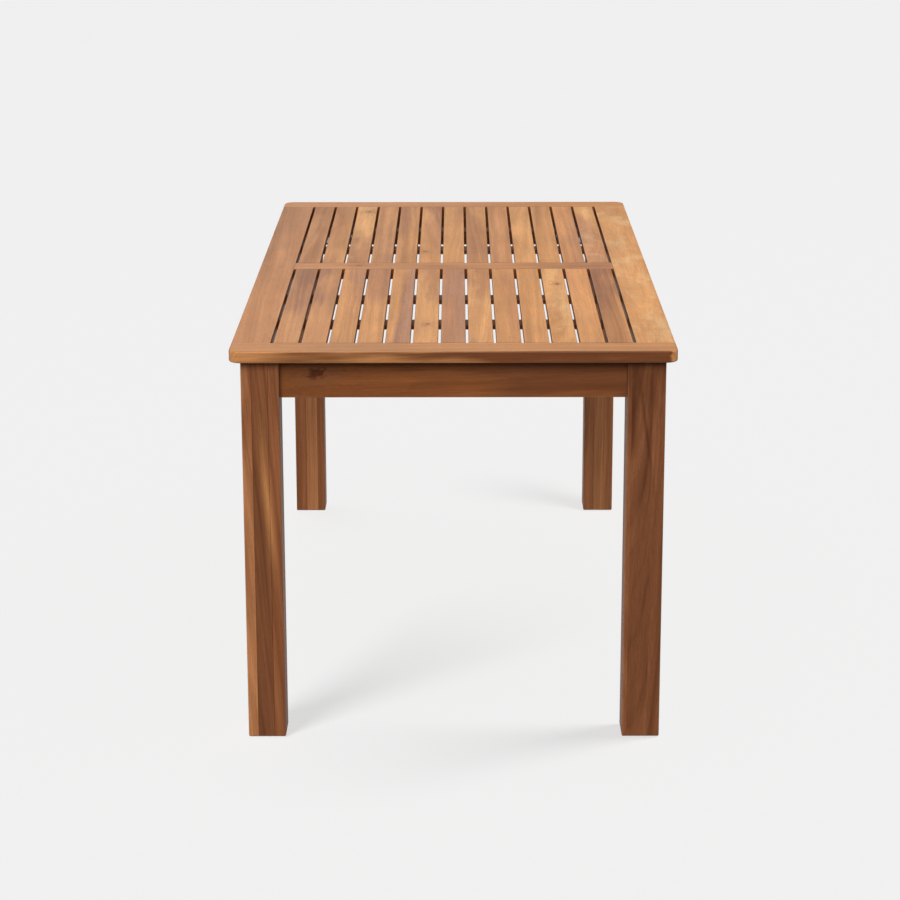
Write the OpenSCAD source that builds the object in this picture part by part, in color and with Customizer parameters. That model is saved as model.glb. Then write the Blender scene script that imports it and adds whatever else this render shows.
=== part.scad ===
// Slatted garden table: a framed top of narrow slats on four square legs.
// The slats' stub tenons sit in mortises in the rails, battens are screwed across
// under them, and steel corner brackets bolt the legs to the aprons.
// Origin: on the floor under the centre of the top. +X runs across the slats,
// +Y along them to the back, and +Z up. All sizes are in millimetres.

/* [Top] */
// Width of the top, across the slats
top_width = 812; // [760:2:900]
// Length of the top, along the slats
top_length = 1600; // [1400:10:1800]
// Height of the upper face above the floor
table_height = 750; // [700:5:780]
// Thickness of the rails that frame the top
rail_thickness = 22; // [20:1:26]
// Width of the rail across each end
end_rail_width = 70; // [66:1:84]
// Width of the rail along each side
side_rail_width = 72; // [68:1:84]
// Width of the rail across the middle
centre_rail_width = 65; // [60:1:80]
// Radius of the top's four corners in plan
corner_radius = 22; // [8:1:30]

/* [Slats and battens] */
// Number of slats in each half of the top
slat_count = 13; // [11:1:15]
// Gap between neighbouring slats
slat_gap = 5; // [3:0.5:8]
// Thickness of a slat
slat_thickness = 12; // [11:1:14]
// Width of a batten under the slats
batten_width = 45; // [35:1:60]

/* [Legs and aprons] */
// Side of a leg's square section
leg_size = 70; // [62:1:80]
// How far the top stands out past the legs
top_overhang = 20; // [12:1:26]
// Height of an apron
apron_height = 72; // [62:1:90]
// Thickness of an apron
apron_thickness = 22; // [20:1:25]
// Distance of the aprons behind the legs' outer faces
apron_setback = 15; // [8:1:18]
// Height of the plastic glide under a leg
glide_height = 2; // [2:0.5:4]

/* [Corner brackets] */
// Height of a bracket
bracket_height = 50; // [46:1:56]
// Thickness of its steel
bracket_steel = 2.5; // [2:0.5:3]
// Length of each wing along its apron
bracket_wing = 45; // [35:1:55]

/* [Hidden] */
$fn = 48;

// Clearance round dowels, screws, bolts and nails, spare depth at the ends of their bores,
// and how far a cut runs past a face
slack = 0.05;
bore_spare = 0.5;
past = 1;

// Radii of the eased edges
outer_edge = 3;
inner_edge = 1;
slat_edge = 1.5;
batten_edge = 1;
apron_edge = 1.5;
leg_edge = 3;
leg_foot_chamfer = 2;

// Levels and halves
half_width = top_width / 2;
half_length = top_length / 2;
frame_bottom = table_height - rail_thickness;
frame_middle = table_height - rail_thickness / 2;
slat_middle = table_height - slat_thickness / 2;

// The two openings that the slats fill
opening_width = top_width - 2 * side_rail_width;
opening_length = (top_length - 2 * end_rail_width - centre_rail_width) / 2;
opening_middle = (centre_rail_width + opening_length) / 2;
side_rail_length = top_length - 2 * end_rail_width;

// Slats, their tenons and the joint left open at each shoulder
slat_width = (opening_width - (slat_count + 1) * slat_gap) / slat_count;
slat_shoulder_gap = 0.5;
slat_length = opening_length - 2 * slat_shoulder_gap;
tenon_shoulder = 8;
tenon_width = slat_width - 2 * tenon_shoulder;
tenon_thickness = 5;
tenon_length = 8;
mortise_slack = 0.2;
function slat_x(i) = (i - (slat_count + 1) / 2) * (slat_width + slat_gap);

// Battens lie at the thirds of each opening, with their ends housed in the side rails
batten_thickness = rail_thickness - slat_thickness;
batten_housing = 12;
batten_end_gap = 0.5;
batten_length = opening_width + 2 * (batten_housing - batten_end_gap);
batten_ys = [for (f = [-2, -1, 1, 2] / 3) f * opening_length + sign(f) * centre_rail_width / 2];
batten_end_screw_x = (opening_width + batten_housing) / 2;

// Legs and aprons
leg_x = half_width - top_overhang - leg_size / 2;
leg_y = half_length - top_overhang - leg_size / 2;
apron_x = half_width - top_overhang - apron_setback - apron_thickness / 2;
apron_y = half_length - top_overhang - apron_setback - apron_thickness / 2;
apron_bottom = frame_bottom - apron_height;
end_apron_length = 2 * leg_x - leg_size;
side_apron_length = 2 * leg_y - leg_size;
// How far a leg's inner corner stands inside the aprons' inner faces
leg_knuckle = leg_size - apron_setback - apron_thickness;

// Aprons are screwed up into the rails from counterbores
apron_screw_length = 45;
apron_screw_r = 2.2;
apron_screw_bite = 15;
counterbore_r = 5;
end_apron_screws = [-200, 0, 200];
side_apron_screws = [-560, -187, 187, 560];

// Countersunk batten screws
batten_screw_bite = 8;
batten_screw_length = batten_thickness + batten_screw_bite;
batten_screw_r = 1.75;

// A screw's head, for a shank of radius r
function head_r(r) = 2 * r;
function head_height(r) = 1.2 * r;

// Dowels in the frame's joints, two to a joint
dowel_r = 4;
dowel_length = 50;
dowel_chamfer = 1;
dowel_spacing = 36;

// Bracket: its diagonal plate meets the aprons at bracket_reach from their inner corner, which
// leaves plate_clearance along each apron to the slope through the leg's corner
plate_clearance = 12;
bracket_reach = 2 * leg_knuckle + plate_clearance;
bracket_lip = 8;
kerf_slack = 0.5;
bracket_bottom = apron_bottom + (apron_height - bracket_height) / 2;
bracket_middle = apron_bottom + apron_height / 2;
bracket_screw_length = 16;
bracket_screw_r = 2;
bracket_screw_rise = 14;
bracket_screw_reach = bracket_reach + bracket_wing / 2;

// M8 hanger bolts, two to a leg, each with a washer, a lock washer and a nut
bolt_r = 4;
bolt_wood_r = 3.5;
bolt_wood_length = 40;
bolt_bore_spare = 2;
bolt_hole_slack = 0.5;
bolt_past_nut = 3;
bolt_rise = 15;
plate_distance = plate_clearance / sqrt(2);
washer_thickness = 1.6;
washer_r = 8;
washer_slack = 0.2;
lock_washer_thickness = 2;
lock_washer_r = 6.5;
lock_washer_slack = 0.1;
nut_thickness = 6.5;
nut_across_flats = 13;
washer_at = plate_distance + bracket_steel;
lock_washer_at = washer_at + washer_thickness;
nut_at = lock_washer_at + lock_washer_thickness;
bolt_end = nut_at + nut_thickness + bolt_past_nut;

// Glides and their nails
glide_r = 12;
nail_r = 1.25;
nail_length = 20;
nail_head_r = 3;
nail_head_height = 0.8;
nail_head_slack = 0.2;
nail_recess = 1.2;

// Colours
top_wood = [0.79, 0.56, 0.37];
slat_woods = [[0.76, 0.52, 0.34], [0.82, 0.60, 0.37], [0.72, 0.49, 0.36]];
base_wood = [0.47, 0.27, 0.15];
batten_wood = [0.40, 0.24, 0.14];
dowel_wood = [0.85, 0.70, 0.50];
zinc = [0.72, 0.73, 0.74];
black_steel = [0.10, 0.10, 0.10];
black_plastic = [0.08, 0.08, 0.08];

HALVES = [["front", -1], ["back", 1]];
CORNERS = [["front_left", -1, -1], ["front_right", 1, -1], ["back_left", -1, 1], ["back_right", 1, 1]];
function slat_name(half, i) = str("slat_", half, i < 10 ? "_0" : "_", i);
function batten_name(i) = str("batten_", i);
function leg_name(corner) = str("leg_", corner[0]);
function bracket_name(corner) = str("bracket_", corner[0]);

// ---- Placing ----

// Runs its children, drawn along Z, along X instead: section x becomes Y, section y becomes Z
module along_x() {
    rotate([90, 0, 90]) children();
}

// Runs its children, drawn along Z, along Y instead: section x stays X, section y becomes Z
module along_y() {
    rotate([90, 0, 0]) children();
}

// Children drawn at the front left corner, mirrored to the corner with the signs sx and sy
module at_corner(sx, sy) {
    mirror([sx > 0 ? 1 : 0, 0, 0]) mirror([0, sy > 0 ? 1 : 0, 0]) children();
}

module at_every_corner() {
    for (corner = CORNERS) at_corner(corner[1], corner[2]) children();
}

// The front left leg's bolt axes: +Z starts at the leg's inner corner and points away from it
module at_bolts() {
    for (rise = [-bolt_rise, bolt_rise])
        translate([leg_size / 2 - leg_x, leg_size / 2 - leg_y, bracket_middle + rise])
            rotate([0, 90, 45]) children();
}

// ---- Boards and fasteners ----

// A board's section, centred, with the edges at +X rounded to one radius and those at -X to another
module board_section(width, thickness, right_radius, left_radius) {
    translate([(left_radius - right_radius) / 2, 0])
        square([width - right_radius - left_radius, thickness], center = true);
    for (side = [[1, right_radius], [-1, left_radius]]) {
        r = side[1];
        translate([side[0] * width / 4, 0]) square([width / 2, thickness - 2 * r], center = true);
        if (r > 0)
            for (end = [-1, 1])
                translate([side[0] * (width / 2 - r), end * (thickness / 2 - r)]) circle(r);
    }
}

module cross_recess(size, depth) {
    for (turn = [0, 90])
        rotate(turn) translate([0, 0, depth / 2]) cube([size, size / 4, depth], center = true);
}

// A screw's threaded length as a plain shank with a point, from z = 0 upwards
module shank(length, r) {
    point = 2 * r;
    cylinder(h = length - point, r = r);
    translate([0, 0, length - point]) cylinder(h = point, r1 = r, r2 = r / 5);
}

module countersunk_screw(length, r) {
    recess_size = 2.2 * r;
    recess_depth = 0.8 * r;
    difference() {
        union() {
            cylinder(h = head_height(r), r1 = head_r(r), r2 = r);
            shank(length, r);
        }
        cross_recess(recess_size, recess_depth);
    }
}

// Pan head below z = 0 and the shank above it
module pan_screw(length, r) {
    recess_size = 2.4 * r;
    recess_depth = 0.8 * r;
    translate([0, 0, -head_height(r)]) difference() {
        cylinder(h = head_height(r), r = head_r(r));
        cross_recess(recess_size, recess_depth);
    }
    shank(length, r);
}

// ---- Top ----

// A pocket for a slat's tenon, opening at y = 0 and running towards +Y
module mortise() {
    depth = tenon_length + slat_shoulder_gap + mortise_slack;
    translate([-tenon_width / 2 - mortise_slack, -past, slat_middle - tenon_thickness / 2 - mortise_slack])
        cube([tenon_width + 2 * mortise_slack, depth + past, tenon_thickness + 2 * mortise_slack]);
}

// The bores for one dowelled joint: the joint's face is x = 0, and each bore runs both ways from it
module dowel_bores() {
    for (side = [-1, 1])
        translate([0, side * dowel_spacing / 2, frame_middle]) along_x()
            cylinder(h = dowel_length + 2 * bore_spare, r = dowel_r + slack, center = true);
}

// Places its children, drawn as for dowel_bores, at the six joints of the frame
module at_frame_joints() {
    for (sx = [-1, 1]) {
        translate([sx * opening_width / 2, 0, 0]) children();
        for (sy = [-1, 1])
            translate([sx * (half_width - side_rail_width / 2), sy * side_rail_length / 2, 0])
                rotate(90) children();
    }
}

// The blank of the front end rail: eased outside edges with round corners, and inside edges
// that are square where the side rails butt against them
module end_rail_blank() {
    inner_y = -side_rail_length / 2;
    corner_x = half_width - corner_radius;
    corner_y = -half_length + corner_radius;
    butt_width = corner_x - opening_width / 2;
    rail_y = -half_length + end_rail_width / 2;
    translate([0, rail_y, frame_middle]) along_x() linear_extrude(opening_width, center = true)
        mirror([1, 0]) board_section(end_rail_width, rail_thickness, outer_edge, inner_edge);
    for (side = [0, 1]) mirror([side, 0, 0]) {
        translate([corner_x - butt_width / 2, rail_y, frame_middle]) along_x()
            linear_extrude(butt_width, center = true)
                mirror([1, 0]) board_section(end_rail_width, rail_thickness, outer_edge, 0);
        translate([corner_x, (corner_y + inner_y) / 2, frame_middle]) along_y()
            linear_extrude(inner_y - corner_y, center = true) corner_section();
        translate([corner_x, corner_y, frame_middle]) rotate(-90)
            rotate_extrude(angle = 90) corner_section();
    }
}

// Half a section, from the centre of the corner's arc out to its eased edge
module corner_section() {
    intersection() {
        board_section(2 * corner_radius, rail_thickness, outer_edge, outer_edge);
        translate([0, -rail_thickness]) square([2 * corner_radius, 2 * rail_thickness]);
    }
}

module end_rail() {
    color(top_wood) difference() {
        end_rail_blank();
        for (i = [1:slat_count])
            translate([slat_x(i), -side_rail_length / 2, 0]) mirror([0, 1, 0]) mortise();
        at_frame_joints() dowel_bores();
        for (x = end_apron_screws) translate([x, -apron_y, 0]) apron_screw_pilot();
    }
}

module apron_screw_pilot() {
    translate([0, 0, frame_bottom - past])
        cylinder(h = apron_screw_bite + bore_spare + past, r = apron_screw_r + slack);
}

module side_rail() {
    color(top_wood) difference() {
        translate([-half_width + side_rail_width / 2, 0, frame_middle]) along_y()
            linear_extrude(side_rail_length, center = true)
                board_section(side_rail_width, rail_thickness, inner_edge, outer_edge);
        at_frame_joints() dowel_bores();
        for (y = batten_ys) {
            translate([-opening_width / 2, y, frame_bottom]) batten_housing_cut();
            translate([-batten_end_screw_x, y, 0]) batten_screw_pilot();
        }
        for (y = side_apron_screws) translate([-apron_x, y, 0]) apron_screw_pilot();
    }
}

// The rebate for a batten's end, running towards -X from x = 0
module batten_housing_cut() {
    translate([-batten_housing, -batten_width / 2 - slack, -past])
        cube([batten_housing + past, batten_width + 2 * slack, batten_thickness + past]);
}

module centre_rail() {
    color(top_wood) difference() {
        translate([0, 0, frame_middle]) along_x() linear_extrude(opening_width, center = true)
            board_section(centre_rail_width, rail_thickness, inner_edge, inner_edge);
        for (side = [0, 1], i = [1:slat_count])
            mirror([0, side, 0]) translate([slat_x(i), -centre_rail_width / 2, 0]) mortise();
        at_frame_joints() dowel_bores();
    }
}

module frame_dowels() {
    color(dowel_wood) at_frame_joints()
        for (side = [-1, 1])
            translate([0, side * dowel_spacing / 2, frame_middle]) along_x() dowel();
}

module dowel() {
    barrel = dowel_length - 2 * dowel_chamfer;
    cylinder(h = barrel, r = dowel_r, center = true);
    for (end = [0, 1])
        mirror([0, 0, end]) translate([0, 0, barrel / 2])
            cylinder(h = dowel_chamfer, r1 = dowel_r, r2 = dowel_r - dowel_chamfer);
}

// ---- Slats and battens ----

module batten_screw_pilot() {
    translate([0, 0, frame_bottom])
        cylinder(h = batten_screw_length + bore_spare, r = batten_screw_r + slack);
}

// Slat number i, counted from the left, in the half of the top with the sign side
module slat(i, side) {
    woods = len(slat_woods);
    color(slat_woods[(2 * i + side + 1) % woods]) difference() {
        translate([slat_x(i), side * opening_middle, slat_middle]) {
            along_y() linear_extrude(slat_length, center = true)
                board_section(slat_width, slat_thickness, slat_edge, slat_edge);
            cube([tenon_width, slat_length + 2 * tenon_length, tenon_thickness], center = true);
        }
        for (y = batten_ys)
            if (y * side > 0) translate([slat_x(i), y, 0]) batten_screw_pilot();
    }
}

module at_batten_screws() {
    for (x = concat([-batten_end_screw_x, batten_end_screw_x], [for (i = [1:slat_count]) slat_x(i)]))
        translate([x, 0, 0]) children();
}

module batten(y) {
    countersink_r = head_r(batten_screw_r) + slack;
    countersink_depth = head_height(batten_screw_r);
    color(batten_wood) difference() {
        translate([0, y, frame_bottom + batten_thickness / 2]) along_x()
            linear_extrude(batten_length, center = true)
                board_section(batten_width, batten_thickness, batten_edge, batten_edge);
        translate([0, y, frame_bottom]) at_batten_screws() {
            translate([0, 0, -past]) cylinder(h = batten_thickness + 2 * past, r = batten_screw_r + slack);
            cylinder(h = countersink_depth, r1 = countersink_r, r2 = batten_screw_r + slack);
        }
    }
}

module batten_screws() {
    color(zinc) for (y = batten_ys)
        translate([0, y, frame_bottom]) at_batten_screws()
            countersunk_screw(batten_screw_length, batten_screw_r);
}

// ---- Aprons ----

// An apron along X with its inner face towards +Y, its lower edge at z = 0 and its ends between two legs
module apron(length, screws) {
    corner = length / 2 + leg_knuckle;
    kerf_x = corner - bracket_reach - bracket_wing + bracket_steel / 2;
    kerf_width = bracket_steel + kerf_slack;
    kerf_depth = bracket_lip + kerf_slack;
    inner_face = apron_thickness / 2;
    counterbore = apron_height + apron_screw_bite - apron_screw_length;
    color(base_wood) difference() {
        translate([0, 0, apron_height / 2]) along_x() linear_extrude(length, center = true)
            board_section(apron_thickness, apron_height, apron_edge, apron_edge);
        for (x = screws) translate([x, 0, -past]) {
            cylinder(h = counterbore + past, r = counterbore_r);
            cylinder(h = apron_height + 2 * past, r = apron_screw_r + slack);
        }
        for (side = [-1, 1]) {
            translate([side * kerf_x - kerf_width / 2, inner_face - kerf_depth, -past])
                cube([kerf_width, kerf_depth + past, apron_height + 2 * past]);
            for (rise = [-bracket_screw_rise, bracket_screw_rise])
                translate([side * (corner - bracket_screw_reach), inner_face + past, apron_height / 2 + rise])
                    along_y() cylinder(h = bracket_screw_length + past, r = bracket_screw_r + slack);
        }
    }
}

module end_apron() {
    translate([0, -apron_y, apron_bottom]) apron(end_apron_length, end_apron_screws);
}

module side_apron() {
    translate([-apron_x, 0, apron_bottom]) mirror([1, -1, 0]) apron(side_apron_length, side_apron_screws);
}

module apron_screws() {
    seat = frame_bottom + apron_screw_bite - apron_screw_length;
    color(zinc) {
        for (x = end_apron_screws, side = [-1, 1])
            translate([x, side * apron_y, seat]) pan_screw(apron_screw_length, apron_screw_r);
        for (y = side_apron_screws, side = [-1, 1])
            translate([side * apron_x, y, seat]) pan_screw(apron_screw_length, apron_screw_r);
    }
}

// ---- Legs ----

// The front left leg
module leg() {
    height = frame_bottom - glide_height;
    color(base_wood) difference() {
        translate([-leg_x, -leg_y, glide_height]) difference() {
            linear_extrude(height) board_section(leg_size, leg_size, leg_edge, leg_edge);
            for (turn = [0:90:270]) rotate(turn) foot_chamfer();
            cylinder(h = nail_length + bore_spare, r = nail_r + slack);
        }
        at_bolts() translate([0, 0, -bolt_wood_length - bolt_bore_spare])
            cylinder(h = bolt_wood_length + bolt_bore_spare + past, r = bolt_wood_r + slack);
    }
}

// A prism along one edge of the leg's lower end
module foot_chamfer() {
    c = leg_foot_chamfer;
    translate([leg_size / 2, 0, 0]) along_y() linear_extrude(leg_size + 2 * past, center = true)
        polygon([[-c, 0], [0, c], [past, c + past], [past, -past], [-c - past, -past]]);
}

module foot_glides() {
    bevel = 0.8;
    color(black_plastic) at_every_corner() translate([-leg_x, -leg_y, 0]) difference() {
        union() {
            cylinder(h = bevel, r1 = glide_r - bevel, r2 = glide_r);
            translate([0, 0, bevel]) cylinder(h = glide_height - bevel, r = glide_r);
        }
        translate([0, 0, -past]) cylinder(h = nail_recess + past, r = nail_head_r + nail_head_slack);
        translate([0, 0, -past]) cylinder(h = glide_height + 2 * past, r = nail_r + slack);
    }
}

module glide_nails() {
    color(zinc) at_every_corner() translate([-leg_x, -leg_y, nail_recess]) {
        translate([0, 0, -nail_head_height]) cylinder(h = nail_head_height, r = nail_head_r);
        shank(nail_length, nail_r);
    }
}

// ---- Corner brackets ----

// The bracket from above, with the aprons' inner faces along both axes: half its outline runs out
// along a wing, round the lip in the apron's kerf and back, and the other half mirrors it
module bracket_plan() {
    mitre = bracket_steel * (sqrt(2) - 1);
    tip = bracket_reach + bracket_wing;
    half = [
        [bracket_reach, 0], [tip - bracket_steel, 0], [tip - bracket_steel, -bracket_lip],
        [tip, -bracket_lip], [tip, bracket_steel], [bracket_reach + mitre, bracket_steel]
    ];
    polygon(concat(half, [for (i = [len(half) - 1:-1:0]) [half[i].y, half[i].x]]));
}

// Places its children at the front left corner's four bracket screws, with +Z into the apron
module at_bracket_screws() {
    for (flip = [0, 1], rise = [-bracket_screw_rise, bracket_screw_rise])
        at_apron_corner() mirror([flip, -flip, 0])
            translate([bracket_screw_reach, bracket_steel, bracket_middle + rise]) along_y() children();
}

// Moves its children to where the inner faces of the front and left aprons meet
module at_apron_corner() {
    translate([leg_size / 2 - leg_x - leg_knuckle, leg_size / 2 - leg_y - leg_knuckle, 0]) children();
}

// The front left bracket
module bracket() {
    color(black_steel) difference() {
        at_apron_corner() translate([0, 0, bracket_bottom]) linear_extrude(bracket_height) bracket_plan();
        at_bolts() translate([0, 0, plate_distance - past])
            cylinder(h = bracket_steel + 2 * past, r = bolt_r + bolt_hole_slack);
        at_bracket_screws() translate([0, 0, -past])
            cylinder(h = bracket_steel + 2 * past, r = bracket_screw_r + slack);
    }
}

module bracket_screws() {
    color(zinc) at_every_corner() at_bracket_screws() pan_screw(bracket_screw_length, bracket_screw_r);
}

module hanger_bolts() {
    color(zinc) at_every_corner() at_bolts() {
        cylinder(h = bolt_end, r = bolt_r);
        mirror([0, 0, 1]) shank(bolt_wood_length, bolt_wood_r);
    }
}

module flat_washers() {
    color(zinc) at_every_corner() at_bolts() translate([0, 0, washer_at])
        ring(washer_thickness, washer_r, bolt_r + washer_slack);
}

module lock_washers() {
    slit = 1.5;
    color(zinc) at_every_corner() at_bolts() translate([0, 0, lock_washer_at]) difference() {
        ring(lock_washer_thickness, lock_washer_r, bolt_r + lock_washer_slack);
        translate([0, -slit / 2, -past]) cube([lock_washer_r + past, slit, lock_washer_thickness + 2 * past]);
    }
}

module hex_nuts() {
    color(zinc) at_every_corner() at_bolts() translate([0, 0, nut_at]) difference() {
        cylinder(h = nut_thickness, d = nut_across_flats / cos(30), $fn = 6);
        translate([0, 0, -past]) cylinder(h = nut_thickness + 2 * past, r = bolt_r + slack);
    }
}

module ring(height, outer_r, inner_r) {
    difference() {
        cylinder(h = height, r = outer_r);
        translate([0, 0, -past]) cylinder(h = height + 2 * past, r = inner_r);
    }
}

// ---- Every node ----

end_rail();  // end_rail_front
mirror([0, 1, 0]) end_rail();  // end_rail_back
side_rail();  // side_rail_left
mirror([1, 0, 0]) side_rail();  // side_rail_right
centre_rail();
for (half = HALVES, i = [1:slat_count])
    slat(i, half[1]);
for (i = [1:len(batten_ys)])
    batten(batten_ys[i - 1]);
end_apron();  // apron_front
mirror([0, 1, 0]) end_apron();  // apron_back
side_apron();  // apron_left
mirror([1, 0, 0]) side_apron();  // apron_right
for (corner = CORNERS)
    at_corner(corner[1], corner[2]) leg();
for (corner = CORNERS)
    at_corner(corner[1], corner[2]) bracket();
frame_dowels();
batten_screws();
apron_screws();
bracket_screws();
hanger_bolts();
flat_washers();
lock_washers();
hex_nuts();
foot_glides();
glide_nails();
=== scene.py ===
import math
import random

import bpy
from mathutils import Matrix, Vector


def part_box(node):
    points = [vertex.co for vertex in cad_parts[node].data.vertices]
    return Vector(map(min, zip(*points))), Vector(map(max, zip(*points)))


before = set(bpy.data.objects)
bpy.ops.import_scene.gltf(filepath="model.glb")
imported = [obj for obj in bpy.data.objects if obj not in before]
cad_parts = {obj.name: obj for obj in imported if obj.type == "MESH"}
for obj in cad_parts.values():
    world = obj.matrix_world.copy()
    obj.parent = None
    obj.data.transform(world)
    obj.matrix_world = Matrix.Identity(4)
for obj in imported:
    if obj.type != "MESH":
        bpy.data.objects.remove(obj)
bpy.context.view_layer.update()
rng = random.Random(4)

# ---- Short calls for building node trees ----


def node(tree, kind, inputs=None, **settings):
    """A shader node. Each input is a socket to link or a value to set."""
    made = tree.nodes.new("ShaderNode" + kind)
    for name, value in settings.items():
        setattr(made, name, value)
    for name, value in (inputs or {}).items():
        feed(tree, made.inputs[name], value)
    return made


def feed(tree, socket, value):
    if isinstance(value, bpy.types.NodeSocket):
        tree.links.new(value, socket)
    else:
        socket.default_value = value


def calc(tree, operation, *values, clamp=False):
    inputs = dict(enumerate(values))
    return node(tree, "Math", inputs, operation=operation, use_clamp=clamp).outputs[0]


def total(tree, *values):
    """The sum of several numbers."""
    result = values[0]
    for value in values[1:]:
        result = calc(tree, "ADD", result, value)
    return result


def times(tree, *values):
    """The product of several numbers."""
    result = values[0]
    for value in values[1:]:
        result = calc(tree, "MULTIPLY", result, value)
    return result


def vector_calc(tree, operation, *values):
    made = node(tree, "VectorMath", dict(enumerate(values)), operation=operation)
    return made.outputs["Value" if operation in ("DOT_PRODUCT", "LENGTH") else "Vector"]


def smooth(tree, value, low, high, to_low=0.0, to_high=1.0):
    """value taken smoothly from low..high to to_low..to_high, and held outside."""
    inputs = {"Value": value, "From Min": low, "From Max": high, "To Min": to_low, "To Max": to_high}
    return node(tree, "MapRange", inputs, interpolation_type="SMOOTHSTEP").outputs["Result"]


def mix(tree, factor, first, second, blend="MIX"):
    """A colour mix: first at factor 0, second at factor 1."""
    made = node(tree, "Mix", {0: factor, 6: first, 7: second}, data_type="RGBA", blend_type=blend)
    return made.outputs[2]


def grey(tree, value):
    return node(tree, "CombineColor", {0: value, 1: value, 2: value}).outputs[0]


def noise(tree, vector, scale, detail, roughness=0.5):
    inputs = {"Vector": vector, "Scale": scale, "Detail": detail, "Roughness": roughness}
    return node(tree, "TexNoise", inputs).outputs["Fac"]


def noise_line(tree, value, scale, detail, roughness=0.5):
    """Noise along one number."""
    inputs = {"W": value, "Scale": scale, "Detail": detail, "Roughness": roughness}
    return node(tree, "TexNoise", inputs, noise_dimensions="1D").outputs["Fac"]


def grain(tree, vector, across, along, detail=2.0, roughness=0.5):
    """Noise of that many cells a metre across and along the grain, Z."""
    stretched = vector_calc(tree, "MULTIPLY", vector, (across, across, along))
    return noise(tree, stretched, 1.0, detail, roughness)


def bump(tree, height, strength, distance):
    """A normal with the height's relief. distance is in metres."""
    inputs = {"Height": height, "Strength": strength, "Distance": distance}
    return node(tree, "Bump", inputs).outputs["Normal"]


def group(tree, content, inputs):
    """A copy of a node group, as its outputs."""
    made = node(tree, "Group", node_tree=content)
    for name, value in inputs.items():
        feed(tree, made.inputs[name], value)
    return made.outputs


def group_sockets(tree, inputs, outputs):
    """Give a new group its sockets, and return the ones that bring its inputs in."""
    for name, kind in inputs.items():
        tree.interface.new_socket(name, in_out="INPUT", socket_type="NodeSocket" + kind)
    for name, kind in outputs.items():
        tree.interface.new_socket(name, in_out="OUTPUT", socket_type="NodeSocket" + kind)
    return tree.nodes.new("NodeGroupInput").outputs


def group_result(tree, sockets):
    """Link what a group gives back."""
    made = tree.nodes.new("NodeGroupOutput")
    for name, socket in sockets.items():
        tree.links.new(socket, made.inputs[name])


def new_material(name):
    """A new material and its node tree, with a Principled shader in it."""
    made = bpy.data.materials.new(name)
    made.use_nodes = True
    return made, made.node_tree


def set_shader(tree, sockets):
    """Link or set the Principled shader's own sockets."""
    shader = tree.nodes["Principled BSDF"]
    for name, value in sockets.items():
        feed(tree, shader.inputs[name], value)


# ---- Wood ----

# Colours that are mixed in
PALE_FIGURE = (0.72, 0.46, 0.23, 1.0)
# The paler edge colour: rubbed wear and a painted highlight along the arrises
WORN_AND_LIT_EDGE = (0.70, 0.44, 0.25, 1.0)
PORE = (0.05, 0.02, 0.01, 1.0)
KNOT_HALO = (0.16, 0.07, 0.03, 1.0)

# Colours that multiply the wood's own
EARLY_WOOD = (1.22, 1.23, 1.22, 1.0)
LATE_WOOD = (0.70, 0.63, 0.57, 1.0)
KNOT_DARK = (0.16, 0.12, 0.10, 1.0)
KNOT_LIGHT = (0.62, 0.50, 0.40, 1.0)
# Painted shade for the sides that face the gaps and for the ends where boards meet
PAINTED_JOINT_SHADE = (0.30, 0.18, 0.10, 1.0)
GLUE_LINE = (0.5, 0.42, 0.36, 1.0)

# Measures in metres: how far the rings wander, and where edges, sides, ends and glue lines begin and
# reach their full strength
RING_WARP = 0.022
RING_RIPPLE = 0.0022
# Where the paler edges, rubbed wear and painted highlight, begin and reach full strength
EDGE_WEAR_AND_HIGHLIGHT = (0.0030, 0.0010)
SIDE_SHADE = (0.0011, 0.0002)
END_SHADE = (0.0030, 0.0008)
GLUE_WIDTH = (0.0007, 0.0002)
FIBRE_RELIEF = 0.0004
SMALLEST_KNOT = 0.0005

# Bands and fine late-wood lines for each metre out from the pith
BANDS_A_METRE = 105.0
LATE_LINES_A_METRE = 185.0

# How far one glued strip's place in the trunk is from the next one's
STRIP_MOVE = (0.031, 0.023, 3.7)

# How matt the oiled wood is
WOOD_SPECULAR = 0.13

# Random spread of the rings' angle and of the trunk's tilt in degrees, and the trunk's length in metres
FACE_SPREAD = 8
LEAN_SPREAD = 1.2
TRUNK_LENGTH = 40

# A branch far past the end of any board, for a board without a knot
NO_BRANCH = (1.0, 0.0, -99.0)


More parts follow.
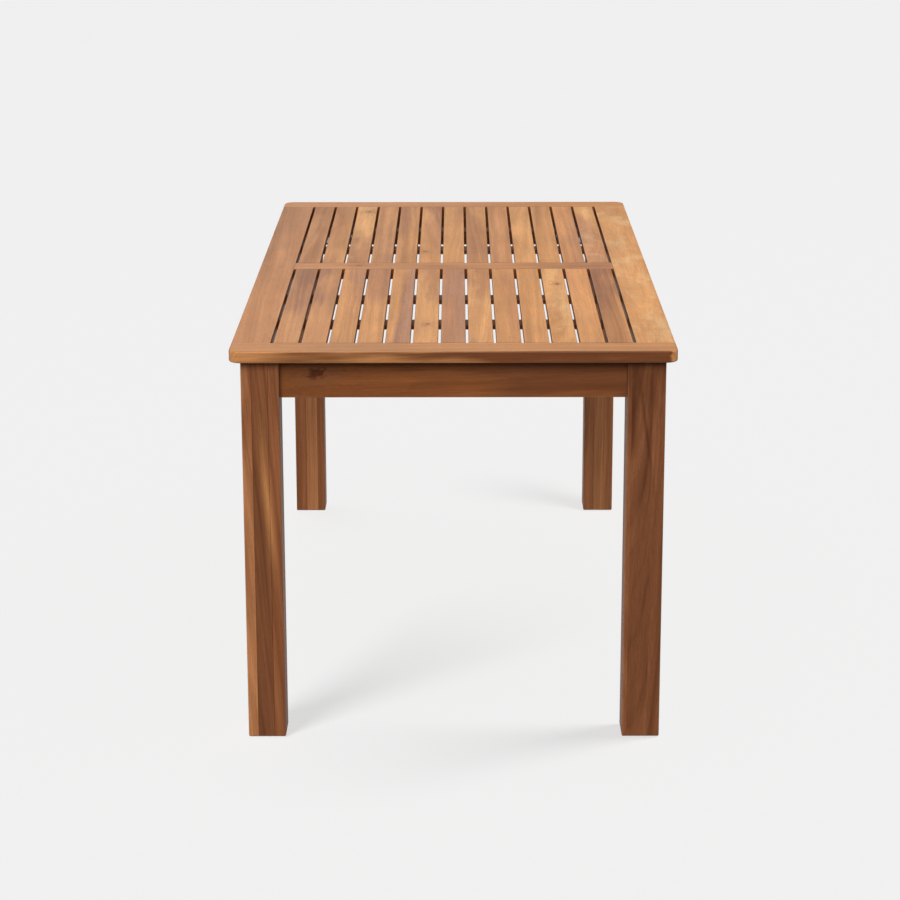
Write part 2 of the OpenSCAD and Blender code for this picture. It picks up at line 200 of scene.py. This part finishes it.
def wood_group():
    """Wood as a solid: growth rings round a pith along Z, streaks, fibres, pores and one knot.

    Board is the place in the board from its centre, with X across its face, Y through it and Z along
    the grain. Log is the same place in the trunk, with the pith along Z. Half is half the board's size.
    Turn and Shift place the second tone: it grows along Turn, from Shift at the centre, in soft patches.
    Pale is how strong the pale cloudy figure is, and Figure the contrast of the grain. Sides is how much
    the side at -X, the side at +X and the two ends are darkened: painted shade in the gaps between the
    boards and painted shadow lines where they meet.
    Knot is the branch's direction in X and Y and its height in Z, and Knot Size its radius.
    """
    tree = bpy.data.node_groups.new("wood", "ShaderNodeTree")
    given = group_sockets(
        tree,
        {"Board": "Vector", "Log": "Vector", "Half": "Vector", "Tone": "Color", "Second": "Color",
         "Turn": "Vector", "Shift": "Float", "Pale": "Float", "Figure": "Float", "Sides": "Vector",
         "Knot": "Vector", "Knot Size": "Float"},
        {"Color": "Color", "Roughness": "Float", "Height": "Float"},
    )
    board, log = given["Board"], given["Log"]
    x, y, z = node(tree, "SeparateXYZ", {0: log}).outputs

    # The branch: distance from its axis, which runs out from the pith at the knot's height
    out_x, out_y, level = node(tree, "SeparateXYZ", {0: given["Knot"]}).outputs
    beside = calc(tree, "SUBTRACT", times(tree, y, out_x), times(tree, x, out_y))
    above = times(tree, calc(tree, "SUBTRACT", z, level), 0.6)
    away = calc(tree, "SQRT", total(tree, times(tree, beside, beside), times(tree, above, above)))
    away = times(tree, away, smooth(tree, grain(tree, log, 170.0, 90.0), 0.3, 0.7, 0.6, 1.4))
    size = calc(tree, "MAXIMUM", given["Knot Size"], SMALLEST_KNOT)
    reach = calc(tree, "DIVIDE", away, size)
    bulge = calc(tree, "EXPONENT", times(tree, reach, reach, -0.12))
    core = smooth(tree, reach, 1.3, 0.5)

    # Rings, bent by slow noise and pushed out round the branch
    radius = vector_calc(tree, "LENGTH", vector_calc(tree, "MULTIPLY", log, (1.0, 1.0, 0.0)))
    warp = calc(tree, "SUBTRACT", grain(tree, log, 10.0, 1.7), 0.5)
    ripple = calc(tree, "SUBTRACT", grain(tree, log, 45.0, 9.0), 0.5)
    ring = total(tree, radius, times(tree, warp, RING_WARP), times(tree, ripple, RING_RIPPLE))
    ring = calc(tree, "SUBTRACT", ring, times(tree, bulge, size, 1.5))
    bands = smooth(tree, noise_line(tree, ring, BANDS_A_METRE, 2.0, 0.6), 0.28, 0.72)
    late = calc(tree, "POWER", calc(tree, "FRACT", times(tree, ring, LATE_LINES_A_METRE)), 4.0)

    # Streaks that follow the rings, and clouds that don't
    flow = node(tree, "CombineXYZ", {0: ring, 1: times(tree, total(tree, x, y), 0.7), 2: z}).outputs[0]
    streak = smooth(tree, grain(tree, flow, 62.0, 1.5, 3.0, 0.55), 0.3, 0.7)
    broad = smooth(tree, grain(tree, flow, 22.0, 0.9, 2.0), 0.34, 0.66)
    cloud = grain(tree, log, 13.0, 4.5, 3.0)
    fibre = grain(tree, log, 560.0, 9.0, 2.0, 0.6)
    pore = smooth(tree, grain(tree, log, 1500.0, 70.0, 1.0), 0.62, 0.72)

    # The tone, and the second tone where the board has one
    share = vector_calc(tree, "DIVIDE", board, given["Half"])
    patch = grain(tree, log, 26.0, 5.0, 2.0)
    second = total(tree, vector_calc(tree, "DOT_PRODUCT", share, given["Turn"]), given["Shift"],
                   times(tree, calc(tree, "SUBTRACT", streak, 0.5), 0.35),
                   times(tree, calc(tree, "SUBTRACT", patch, 0.5), 2.4))
    colour = mix(tree, smooth(tree, second, 0.0, 1.0), given["Tone"], given["Second"])

    # Figure: early and late wood, pale clouds, fibres and pores
    depth = total(tree, times(tree, bands, 0.28), times(tree, streak, 0.30), times(tree, broad, 0.36),
                  times(tree, late, 0.12))
    depth = calc(tree, "MULTIPLY_ADD", calc(tree, "SUBTRACT", depth, 0.5), given["Figure"], 0.5, clamp=True)
    shade = mix(tree, depth, EARLY_WOOD, LATE_WOOD)
    colour = mix(tree, 1.0, colour, shade, "MULTIPLY")
    blot = smooth(tree, grain(tree, log, 24.0, 11.0, 4.0, 0.62), 0.46, 0.74)
    colour = mix(tree, times(tree, blot, given["Pale"]), colour, PALE_FIGURE)
    colour = mix(tree, 1.0, colour, grey(tree, smooth(tree, cloud, 0.25, 0.75, 0.91, 1.09)), "MULTIPLY")
    colour = mix(tree, 1.0, colour, grey(tree, smooth(tree, fibre, 0.25, 0.75, 0.88, 1.12)), "MULTIPLY")
    colour = mix(tree, times(tree, pore, 0.3), colour, PORE)

    # The knot: dark heart, and a shade round it
    heart = noise_line(tree, away, 420.0, 2.0)
    knot_shade = mix(tree, heart, KNOT_DARK, KNOT_LIGHT)
    colour = mix(tree, core, colour, mix(tree, 1.0, colour, knot_shade, "MULTIPLY"))
    halo = times(tree, calc(tree, "SUBTRACT", bulge, core, clamp=True), 0.35)
    colour = mix(tree, halo, colour, KNOT_HALO)

    # Long edges are paler: partly rubbed wear, partly a painted highlight along the arrises
    inset = vector_calc(tree, "SUBTRACT", given["Half"], vector_calc(tree, "ABSOLUTE", board))
    across, through, from_end = node(tree, "SeparateXYZ", {0: inset}).outputs
    from_edge = total(tree, calc(tree, "MAXIMUM", across, through), times(tree, fibre, 0.0012))
    worn_and_lit = times(tree, smooth(tree, from_edge, *EDGE_WEAR_AND_HIGHLIGHT), 0.16)
    colour = mix(tree, worn_and_lit, colour, WORN_AND_LIT_EDGE)

    # Painted shade: the sides that face the gaps and the ends where boards meet are darkened, as shade falls
    # there
    place = node(tree, "SeparateXYZ", {0: board}).outputs[0]
    half_width = node(tree, "SeparateXYZ", {0: given["Half"]}).outputs[0]
    low_side, high_side, ends = node(tree, "SeparateXYZ", {0: given["Sides"]}).outputs
    from_low = total(tree, half_width, place)
    from_high = calc(tree, "SUBTRACT", half_width, place)
    low_side = times(tree, smooth(tree, from_low, *SIDE_SHADE), low_side)
    high_side = times(tree, smooth(tree, from_high, *SIDE_SHADE), high_side)
    ends = times(tree, smooth(tree, from_end, *END_SHADE), ends)
    dark = calc(tree, "MAXIMUM", ends, calc(tree, "MAXIMUM", low_side, high_side))
    colour = mix(tree, dark, colour, mix(tree, 1.0, colour, PAINTED_JOINT_SHADE, "MULTIPLY"))

    rough = total(tree, smooth(tree, fibre, 0.2, 0.8, 0.40, 0.52), times(tree, pore, 0.2),
                  times(tree, depth, 0.05))
    height = calc(tree, "SUBTRACT", times(tree, fibre, 0.5), pore)
    group_result(tree, {"Color": colour, "Roughness": rough, "Height": height})
    return tree


def strips_group():
    """A board glued up from three strips, in the tones First, Middle and Last.

    Splits holds the two glue lines' places in X, from the centre. Move shifts the place in the trunk
    from strip to strip, so each has a figure of its own.
    """
    tree = bpy.data.node_groups.new("strips", "ShaderNodeTree")
    given = group_sockets(
        tree,
        {"Board": "Vector", "Splits": "Vector", "First": "Color", "Middle": "Color", "Last": "Color"},
        {"Tone": "Color", "Move": "Vector", "Glue": "Float"},
    )
    place = node(tree, "SeparateXYZ", {0: given["Board"]}).outputs[0]
    low, high, _ = node(tree, "SeparateXYZ", {0: given["Splits"]}).outputs
    past_low = calc(tree, "GREATER_THAN", place, low)
    past_high = calc(tree, "GREATER_THAN", place, high)
    tone = mix(tree, past_high, mix(tree, past_low, given["First"], given["Middle"]), given["Last"])
    index = total(tree, past_low, past_high)
    move = vector_calc(tree, "SCALE", STRIP_MOVE)
    feed(tree, move.node.inputs["Scale"], index)
    nearest = calc(tree, "MINIMUM", calc(tree, "ABSOLUTE", calc(tree, "SUBTRACT", place, low)),
                   calc(tree, "ABSOLUTE", calc(tree, "SUBTRACT", place, high)))
    glue = smooth(tree, nearest, *GLUE_WIDTH)
    group_result(tree, {"Tone": tone, "Move": move, "Glue": glue})
    return tree


WOOD = wood_group()
STRIPS = strips_group()


def linear(red, green, blue):
    """A colour given in screen values from 0 to 255."""
    def channel(value):
        share = value / 255
        return share / 12.92 if share <= 0.04045 else ((share + 0.055) / 1.055) ** 2.4
    return (channel(red), channel(green), channel(blue), 1.0)


TONES = {
    "bright": linear(212, 154, 95),
    "pale": linear(206, 147, 90),
    "golden": linear(197, 137, 79),
    "coral": linear(205, 142, 87),
    "peach": linear(200, 140, 83),
    "tan": linear(192, 134, 83),
    "salmon": linear(194, 133, 82),
    "brown": linear(178, 121, 74),
    "mauve": linear(183, 126, 84),
    "lilac": linear(178, 127, 95),
    "cocoa": linear(160, 107, 72),
    "honey": linear(162, 108, 70),
    "amber": linear(152, 98, 63),
    "russet": linear(131, 80, 49),
    "rust": linear(119, 73, 45),
    "sorrel": linear(137, 82, 43),
    "chestnut": linear(114, 67, 37),
    "umber": linear(92, 51, 27),
    "beech": linear(214, 178, 132),
}

# These turn the frame's axes to a board's own: across its face, through it and along the grain
ALONG_Y = Matrix(((1, 0, 0), (0, 0, -1), (0, 1, 0)))
ALONG_X = Matrix(((0, 1, 0), (0, 0, 1), (1, 0, 0)))
ALONG_Z = Matrix.Identity(3)
UPRIGHT_X = Matrix(((0, 0, 1), (0, -1, 0), (1, 0, 0)))
UPRIGHT_Y = Matrix(((0, 0, 1), (1, 0, 0), (0, 1, 0)))


def mapping(tree, place, turn, move):
    """place, turned and then moved."""
    inputs = {"Vector": place, "Rotation": turn.to_euler("XYZ"), "Location": move}
    return node(tree, "Mapping", inputs, vector_type="POINT").outputs[0]


def vein(tree, board, across, along, slope, width, length):
    """A soft narrow lens along the grain: 1 in its middle, 0 away from it."""
    x, _, z = node(tree, "SeparateXYZ", {0: board}).outputs
    up = calc(tree, "SUBTRACT", z, along)
    beside = calc(tree, "SUBTRACT", calc(tree, "SUBTRACT", x, across), times(tree, up, slope))
    beside, up = calc(tree, "DIVIDE", beside, width), calc(tree, "DIVIDE", up, length)
    spread = total(tree, times(tree, beside, beside), times(tree, up, up))
    return calc(tree, "EXPONENT", times(tree, spread, -1.0))


def wood_material(name, axes, tone, second=None, turn=(0, 0, 0), shift=-1.0, pale=0.0, figure=1.0,
                  sides=(0, 0, 0), tenon=0.0, pith=0.09, face=60, lean=(0, 0), knot=None, strips=None,
                  glue=1.0, streak=None):
    """The material of one board, named after its node.

    second is a second tone, which grows along turn, in half sizes of the board, from shift at its centre.
    face is the angle of the rings to the board: 90 has them along its face, 0 straight through it.
    sides is how much painted shade darkens the side at -X, the side at +X and the ends, with tenon left out
    of the length.
    lean tilts the trunk, in degrees, about the board's X and Y.
    knot is (across, through, along, radius), in metres from the board's centre.
    strips is (first split, second split, middle tone, last tone), the splits as shares of the width, and
    glue is how dark their glue lines are. streak is a tone and the vein's measures, by name.
    """
    low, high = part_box(name)
    centre = (low + high) / 2
    half = Vector([abs(v) / 2 for v in axes @ (high - low)]) - Vector((0, 0, tenon))
    angle = math.radians(face + rng.uniform(-FACE_SPREAD, FACE_SPREAD))
    middle = Vector((math.cos(angle) * pith, math.sin(angle) * pith, rng.uniform(0, TRUNK_LENGTH)))
    lean_x, lean_y = (math.radians(degrees + rng.uniform(-LEAN_SPREAD, LEAN_SPREAD)) for degrees in lean)
    tilt = Matrix.Rotation(lean_x, 3, "X") @ Matrix.Rotation(lean_y, 3, "Y")

    made, tree = new_material(name + "_wood")
    place = node(tree, "TexCoord").outputs["Object"]
    board = mapping(tree, place, axes, -(axes @ centre))
    log = mapping(tree, board, tilt, middle)
    branch, radius = NO_BRANCH, 0.0
    if knot:
        radius = knot[3]
        spot = tilt @ Vector(knot[:3]) + middle
        out = Vector((spot.x, spot.y)).normalized()
        branch = Vector((out.x, out.y, spot.z))
    wood = {"Board": board, "Log": log, "Half": half, "Tone": TONES[tone], "Second": TONES[second or tone],
            "Turn": turn, "Shift": shift, "Pale": pale, "Figure": figure, "Sides": sides,
            "Knot": branch, "Knot Size": radius}
    if strips:
        first_split, second_split, middle_tone, last_tone = strips
        splits = Vector((first_split * 2 - 1, second_split * 2 - 1, 0)) * half.x
        glued = group(tree, STRIPS, {"Board": board, "Splits": splits, "First": TONES[tone],
                                     "Middle": TONES[middle_tone], "Last": TONES[last_tone]})
        wood.update({"Tone": glued["Tone"], "Log": vector_calc(tree, "ADD", log, glued["Move"])})
        if not second:
            wood["Second"] = glued["Tone"]
    if streak:
        measures = dict(streak)
        streak_tone = TONES[measures.pop("tone")]
        wood["Tone"] = mix(tree, vein(tree, board, **measures), wood["Tone"], streak_tone)
        if not second:
            wood["Second"] = wood["Tone"]
    grown = group(tree, WOOD, wood)
    colour = grown["Color"]
    if strips:
        joint = mix(tree, 1.0, colour, GLUE_LINE, "MULTIPLY")
        colour = mix(tree, times(tree, glued["Glue"], glue), colour, joint)
    set_shader(tree, {"Base Color": colour, "Roughness": grown["Roughness"],
                      "Normal": bump(tree, grown["Height"], 0.3, FIBRE_RELIEF),
                      "Specular IOR Level": WOOD_SPECULAR})
    return made


def dress(name, material):
    """Give a CAD node its material, in every slot."""
    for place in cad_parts[name].material_slots:
        place.material = material


# ---- Dressing the boards ----

# The length of a slat that goes into the rail at each end, in metres
SLAT_TENON = 0.008

# How much painted shade darkens a slat's two sides, in the gaps, and its ends, where they meet the rails
SLAT_SIDES = (0.9, 0.9, 0.6)

BATTENS = 4

FRONT_SLATS = [
    dict(tone="tan", second="cocoa", turn=(0.3, 0, 0.5), shift=0.45),
    dict(tone="tan", second="cocoa", turn=(-0.5, 0, 0.6), shift=0.1),
    dict(tone="peach", second="mauve", turn=(0.5, 0, 0.6), shift=0.1, figure=0.8),
    dict(tone="peach", second="mauve", turn=(0.2, 0, 1.0), shift=0.2, figure=0.9),
    dict(tone="peach", second="lilac", turn=(1.3, 0, -0.5), shift=0.4, figure=0.9),
    dict(tone="pale", second="brown", turn=(0.3, 0, 0.8), shift=0.1, figure=0.8,
         knot=(0.002, -0.006, -0.19, 0.0045), face=88),
    dict(tone="mauve", second="lilac", turn=(0.6, 0, 0.2), shift=0.4, figure=0.9),
    dict(tone="pale", second="brown", turn=(0.2, 0, 1.2), shift=0.0, pale=0.15, figure=0.8),
    dict(tone="peach", second="salmon", turn=(0.6, 0, 0.3), shift=0.4, figure=0.7),
    dict(tone="peach", second="golden", turn=(-0.3, 0, 0.6), shift=0.3, figure=0.8),
    dict(tone="bright", second="golden", turn=(-0.6, 0, -0.6), shift=0.2, pale=0.5, figure=0.9,
         knot=(0.006, -0.006, 0.19, 0.005), face=84),
    dict(tone="coral", second="pale", turn=(-0.3, 0, -0.6), shift=0.3, figure=0.7),
    dict(tone="tan", second="cocoa", turn=(-0.3, 0, 0.6), shift=0.4, figure=1.2),
]
BACK_SLATS = [
    dict(tone="tan", second="brown", turn=(0.6, 0, 0.2), shift=0.4, figure=1.1),
    dict(tone="pale", second="salmon", turn=(-0.5, 0, 0.3), shift=0.2, figure=1.0),
    dict(tone="bright", second="brown", turn=(0.2, 0, -1.1), shift=0.1, pale=0.35,
         knot=(0.004, -0.006, 0.28, 0.007), face=84),
    dict(tone="tan", second="cocoa", turn=(0.6, 0, -0.2), shift=0.0),
    dict(tone="peach", second="mauve", turn=(-0.6, 0, 0.7), shift=0.4, figure=1.0),
    dict(tone="peach", second="mauve", turn=(0.7, 0, 0.8), shift=0.3, figure=1.2,
         knot=(-0.010, -0.006, -0.22, 0.004), face=86),
    dict(tone="pale", second="tan", turn=(0.4, 0, 0.3), shift=0.2, figure=0.8),
    dict(tone="brown", second="pale", turn=(0.7, 0, 0.9), shift=0.1),
    dict(tone="tan", second="salmon", turn=(0.4, 0, 0.2), shift=0.3),
    dict(tone="pale", second="golden", turn=(-0.6, 0, 0.2), shift=0.3, figure=0.9),
    dict(tone="peach", second="tan", turn=(0.4, 0, 0.5), shift=0.2),
    dict(tone="coral", second="mauve", turn=(0.6, 0, -0.4), shift=0.3, figure=1.1),
    dict(tone="mauve", second="bright", turn=(0.3, 0, 1.2), shift=0.1, pale=0.4, figure=1.1),
]
for part, looks in (("front", FRONT_SLATS), ("back", BACK_SLATS)):
    for number, look in enumerate(looks, start=1):
        name = f"slat_{part}_{number:02d}"
        usual = {"pith": rng.uniform(0.05, 0.16), "face": rng.uniform(25, 85), "sides": SLAT_SIDES,
                 "tenon": SLAT_TENON}
        dress(name, wood_material(name, ALONG_Y, **{**usual, **look}))

# A rail's sides darken, with painted shade, the side that faces the slats; the front end rail's ends get
# painted shade at its rounded corners
RAILS = {
    "side_rail_left": dict(axes=ALONG_Y, tone="salmon", second="brown", turn=(0.2, 0, 1.0), shift=0.5,
                           figure=0.65, face=35, sides=(0, 0.9, 0)),
    "side_rail_right": dict(axes=ALONG_Y, tone="pale", second="peach", turn=(0.4, 0, 0.3), shift=0.3,
                            pale=0.6, figure=0.7, face=75, sides=(0.9, 0, 0)),
    "end_rail_front": dict(axes=ALONG_X, tone="tan", second="chestnut", turn=(-12.0, 0, 0.75), shift=-11.2,
                           figure=0.8, face=20, pith=0.2, sides=(0, 0.9, 0.6)),
    "end_rail_back": dict(axes=ALONG_X, tone="salmon", second="golden", turn=(0, 0, 0.8), shift=0.2,
                          figure=0.8, face=30, pith=0.2, sides=(0.9, 0, 0)),
    "centre_rail": dict(axes=ALONG_X, tone="brown", second="tan", turn=(0.3, 0, 0), shift=0.4, figure=1.1,
                        sides=(0.9, 0.9, 0), knot=(0.004, 0.011, -0.20, 0.005), face=84,
                        streak=dict(tone="cocoa", across=0.0, along=0.29, slope=0.0, width=0.02,
                                    length=0.05)),
}
APRONS = {
    "apron_front": dict(axes=UPRIGHT_X, tone="sorrel", second="chestnut", turn=(0.3, 0, 0.9), shift=0.4,
                        figure=1.3, knot=(0.010, 0.011, -0.248, 0.009), face=80, pith=0.14),
    "apron_back": dict(axes=UPRIGHT_X, tone="sorrel", second="honey", turn=(0.6, 0, 0.4), shift=0.1),
    "apron_left": dict(axes=UPRIGHT_Y, tone="sorrel", second="chestnut", turn=(0.5, 0, 0.5), shift=0.2),
    "apron_right": dict(axes=UPRIGHT_Y, tone="chestnut", second="russet", turn=(0.4, 0, -0.6), shift=0.3),
}
LEGS = {
    "leg_front_left": dict(tone="honey", second="russet", turn=(0, 0, 0.8), shift=-0.35, lean=(0, 5),
                           strips=(0.27, 0.70, "rust", "russet"), figure=1.7,
                           streak=dict(tone="tan", across=0.007, along=0.12, slope=-0.08, width=0.006,
                                       length=0.13)),
    "leg_front_right": dict(tone="russet", second="umber", turn=(0.1, 0, 0.9), shift=-0.25,
                            strips=(0.12, 0.66, "rust", "rust"), figure=1.6, glue=0.1, lean=(3, 0),
                            streak=dict(tone="umber", across=-0.002, along=0.25, slope=-0.14,
                                        width=0.003, length=0.1),
                            knot=(0.010, -0.035, 0.12, 0.003), face=86),
    "leg_back_left": dict(tone="russet", strips=(0.37, 0.76, "honey", "russet"), figure=1.4),
    "leg_back_right": dict(tone="amber", strips=(0.33, 0.68, "honey", "amber"), figure=1.4),
}
for name, look in {**RAILS, **APRONS}.items():
    dress(name, wood_material(name, **look))
for name, look in LEGS.items():
    dress(name, wood_material(name, ALONG_Z, **look))
# The battens get a darker tone than the rest of the wood as painted shade, for the shade they lie in below
# the slats' gaps
for number in range(1, BATTENS + 1):
    name = f"batten_{number}"
    dress(name, wood_material(name, ALONG_X, "chestnut", second="umber", turn=(0, 0, 0.5), shift=0.3))
dress("frame_dowels", wood_material("frame_dowels", ALONG_Y, "beech", figure=0.6))

# ---- Steel and plastic ----

# Depth of the fine relief on metal and plastic, in metres
FINE_RELIEF = 0.0002


def plain_material(name):
    """A new material, its tree and the place in the object."""
    made, tree = new_material(name)
    return made, tree, node(tree, "TexCoord").outputs["Object"]


def zinc_steel():
    """Bright zinc on steel: grey crystals a few millimetres wide, fine scratches and a little dulling."""
    bright, grey_zinc = (0.66, 0.67, 0.69, 1.0), (0.50, 0.51, 0.53, 1.0)
    dulled = (0.36, 0.36, 0.35, 1.0)
    made, tree, place = plain_material("zinc_steel")
    crystals = node(tree, "TexVoronoi", {"Vector": place, "Scale": 420.0}).outputs["Color"]
    crystal = node(tree, "SeparateColor", {0: crystals}).outputs[0]
    scratch = noise(tree, place, 900.0, 3.0, 0.6)
    dull = smooth(tree, noise(tree, place, 55.0, 3.0), 0.4, 0.7)
    colour = mix(tree, crystal, grey_zinc, bright)
    colour = mix(tree, times(tree, dull, 0.5), colour, dulled)
    rough = total(tree, smooth(tree, scratch, 0.3, 0.7, 0.24, 0.36), times(tree, dull, 0.16))
    set_shader(tree, {"Base Color": colour, "Roughness": rough, "Metallic": 1.0,
                      "Normal": bump(tree, scratch, 0.25, FINE_RELIEF)})
    return made


def black_steel():
    """Black powder coat: pebbled like orange peel, with a little pale dust lying in patches."""
    hollow, crest = (0.013, 0.013, 0.014, 1.0), (0.028, 0.028, 0.029, 1.0)
    dusty = (0.12, 0.105, 0.09, 1.0)
    made, tree, place = plain_material("black_steel")
    pebble = noise(tree, place, 780.0, 2.0, 0.45)
    dust = smooth(tree, noise(tree, place, 48.0, 5.0, 0.65), 0.5, 0.78)
    colour = mix(tree, pebble, hollow, crest)
    colour = mix(tree, times(tree, dust, 0.35), colour, dusty)
    rough = total(tree, smooth(tree, pebble, 0.3, 0.7, 0.34, 0.46), times(tree, dust, 0.3))
    set_shader(tree, {"Base Color": colour, "Roughness": rough,
                      "Normal": bump(tree, pebble, 0.4, FINE_RELIEF)})
    return made


def glide_plastic():
    """Black moulded plastic with a fine grain, scuffed grey in patches."""
    hollow, crest = (0.012, 0.012, 0.013, 1.0), (0.032, 0.031, 0.030, 1.0)
    scuffed = (0.09, 0.088, 0.085, 1.0)
    made, tree, place = plain_material("glide_plastic")
    speck = noise(tree, place, 1600.0, 2.0, 0.6)
    scuff = smooth(tree, noise(tree, place, 130.0, 4.0, 0.65), 0.52, 0.72)
    colour = mix(tree, speck, hollow, crest)
    colour = mix(tree, times(tree, scuff, 0.5), colour, scuffed)
    rough = total(tree, smooth(tree, speck, 0.3, 0.7, 0.42, 0.56), times(tree, scuff, 0.15))
    set_shader(tree, {"Base Color": colour, "Roughness": rough,
                      "Normal": bump(tree, speck, 0.3, FINE_RELIEF)})
    return made


BLACK_STEEL = black_steel()
for name in ("bracket_front_left", "bracket_front_right", "bracket_back_left", "bracket_back_right"):
    dress(name, BLACK_STEEL)
ZINC_STEEL = zinc_steel()
for name in ("batten_screws", "apron_screws", "bracket_screws", "hanger_bolts", "flat_washers",
             "lock_washers", "hex_nuts", "glide_nails"):
    dress(name, ZINC_STEEL)
dress("foot_glides", glide_plastic())

# ---- Floor, light and camera ----

# The floor's colour and glow as they are seen, and as they are to the light that it throws up
FLOOR_COLOUR, FLOOR_BOUNCE = 0.40, 0.04
FLOOR_GLOW, FLOOR_GLOW_BOUNCE = 0.376, 0.035
FLOOR_REACH = 60.0

# The world's strength as the camera sees it, and as it lights the table and the floor
BACKDROP, AMBIENT = 0.871, 0.07

# The camera's place in metres, its angles in degrees and its lens in millimetres
CAMERA_PLACE = (0.006, -5.238, 1.7755)
CAMERA_PITCH, CAMERA_YAW, CAMERA_ROLL = 15.24, 0.157, 0.103
SENSOR_WIDTH, FOCAL_LENGTH = 36.0, 101.24


def make_floor():
    """A pale floor, which the camera sees brighter than the light that it throws up at the table."""
    mesh = bpy.data.meshes.new("floor")
    corners = [(x * FLOOR_REACH, y * FLOOR_REACH, 0) for x, y in ((-1, -1), (1, -1), (1, 1), (-1, 1))]
    mesh.from_pydata(corners, [], [(0, 1, 2, 3)])
    made = bpy.data.objects.new("floor", mesh)
    bpy.context.scene.collection.objects.link(made)
    paint, tree = new_material("floor_paint")
    bounce = node(tree, "LightPath").outputs["Is Diffuse Ray"]
    colour = grey(tree, smooth(tree, bounce, 0.0, 1.0, FLOOR_COLOUR, FLOOR_BOUNCE))
    glow = smooth(tree, bounce, 0.0, 1.0, FLOOR_GLOW, FLOOR_GLOW_BOUNCE)
    set_shader(tree, {"Base Color": colour, "Emission Strength": glow, "Emission Color": (1, 1, 1, 1),
                      "Roughness": 0.9, "Specular IOR Level": 0.1})
    mesh.materials.append(paint)
    return made


def make_world():
    """Weak even light from all round, behind a backdrop as bright as the floor."""
    world = bpy.data.worlds.new("studio")
    bpy.context.scene.world = world
    world.use_nodes = True
    tree = world.node_tree
    seen = node(tree, "LightPath").outputs["Is Camera Ray"]
    strength = smooth(tree, seen, 0.0, 1.0, AMBIENT, BACKDROP)
    feed(tree, tree.nodes["Background"].inputs["Strength"], strength)
    tree.nodes["Background"].inputs["Color"].default_value = (1, 1, 1, 1)


def collection_of(name, things):
    """A collection for light linking."""
    made = bpy.data.collections.new(name)
    for thing in things:
        made.objects.link(thing)
    return made


def lamp(name, kind, strength, towards, place=(0, 0, 0), spread=0, size=0, lights=None):
    """A lamp that lights everything except the floor, or only what lights holds.

    towards points from what it lights to the lamp. spread is a sun's width in degrees, and size an area
    lamp's side in metres.
    """
    light = bpy.data.lights.new(name, kind)
    light.energy = strength
    if kind == "SUN":
        light.angle = math.radians(spread)
    else:
        light.size = size
    made = bpy.data.objects.new(name, light)
    made.location = place
    made.rotation_euler = Vector(towards).to_track_quat("Z", "Y").to_euler()
    made.visible_camera = False
    bpy.context.scene.collection.objects.link(made)
    receivers = collection_of(name + "_receivers", lights or [floor])
    if not lights:
        receivers.collection_objects[0].light_linking.link_state = "EXCLUDE"
    made.light_linking.receiver_collection = receivers
    return made


def floor_lamp(name, towards, strength, spread, leg):
    """A lamp that lights only the floor, where it throws one leg's soft shadow."""
    made = lamp(name, "SUN", strength, towards, spread=spread, lights=[floor])
    made.light_linking.blocker_collection = collection_of(name + "_blockers", [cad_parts[leg]])


def make_camera():
    """A long lens at one end of the table, looking a little down on it."""
    pitch, yaw, roll = (math.radians(degrees) for degrees in (CAMERA_PITCH, CAMERA_YAW, CAMERA_ROLL))
    turn = Matrix.Rotation(yaw, 4, "Z") @ Matrix.Rotation(math.pi / 2 - pitch, 4, "X")
    turn = turn @ Matrix.Rotation(-roll, 4, "Z")
    lens = bpy.data.cameras.new("camera")
    lens.sensor_width = SENSOR_WIDTH
    lens.lens = FOCAL_LENGTH
    camera = bpy.data.objects.new("camera", lens)
    camera.matrix_world = Matrix.Translation(CAMERA_PLACE) @ turn
    bpy.context.scene.collection.objects.link(camera)
    bpy.context.scene.camera = camera


floor = make_floor()
make_world()
lamp("overhead", "SUN", strength=0.25, towards=(0.0, 0.1, 1.0), spread=60)
lamp("front", "SUN", strength=2.9, towards=(-0.13, -0.84, 0.545), spread=34)
lamp("left", "AREA", strength=8.0, towards=(-1.2, -1.7, 1.6), place=(-1.2, -1.9, 2.3), size=1.2)
lamp("right", "AREA", strength=13.0, towards=(1.56, -0.35, 1.5), place=(1.76, -0.35, 2.1), size=0.9)
lamp("left_side", "SUN", strength=0.8, towards=(-1.0, 0.12, 0.2), spread=30)
lamp("right_side", "SUN", strength=0.8, towards=(1.0, 0.12, 0.2), spread=30)
lamp("rear", "SUN", strength=0.7, towards=(-0.2, 0.9, 0.6), spread=40)
lamp("under", "SUN", strength=0.8, towards=(0.3, -1.0, 0.2), spread=40,
     lights=[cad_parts["leg_back_left"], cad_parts["leg_back_right"]])
floor_lamp("front_left_shadow", towards=(-0.57, -0.82, 0.93), strength=2.0, spread=22, leg="leg_front_left")
floor_lamp("front_right_shadow", towards=(0.96, 0.27, 1.35), strength=1.45, spread=24, leg="leg_front_right")
floor_lamp("back_right_shadow", towards=(0.79, -0.62, 2.4), strength=0.9, spread=18, leg="leg_back_right")
floor_lamp("back_left_shadow", towards=(-0.3, 0.45, 2.6), strength=0.35, spread=20, leg="leg_back_left")
make_camera()
bpy.context.scene.view_settings.view_transform = "Standard"
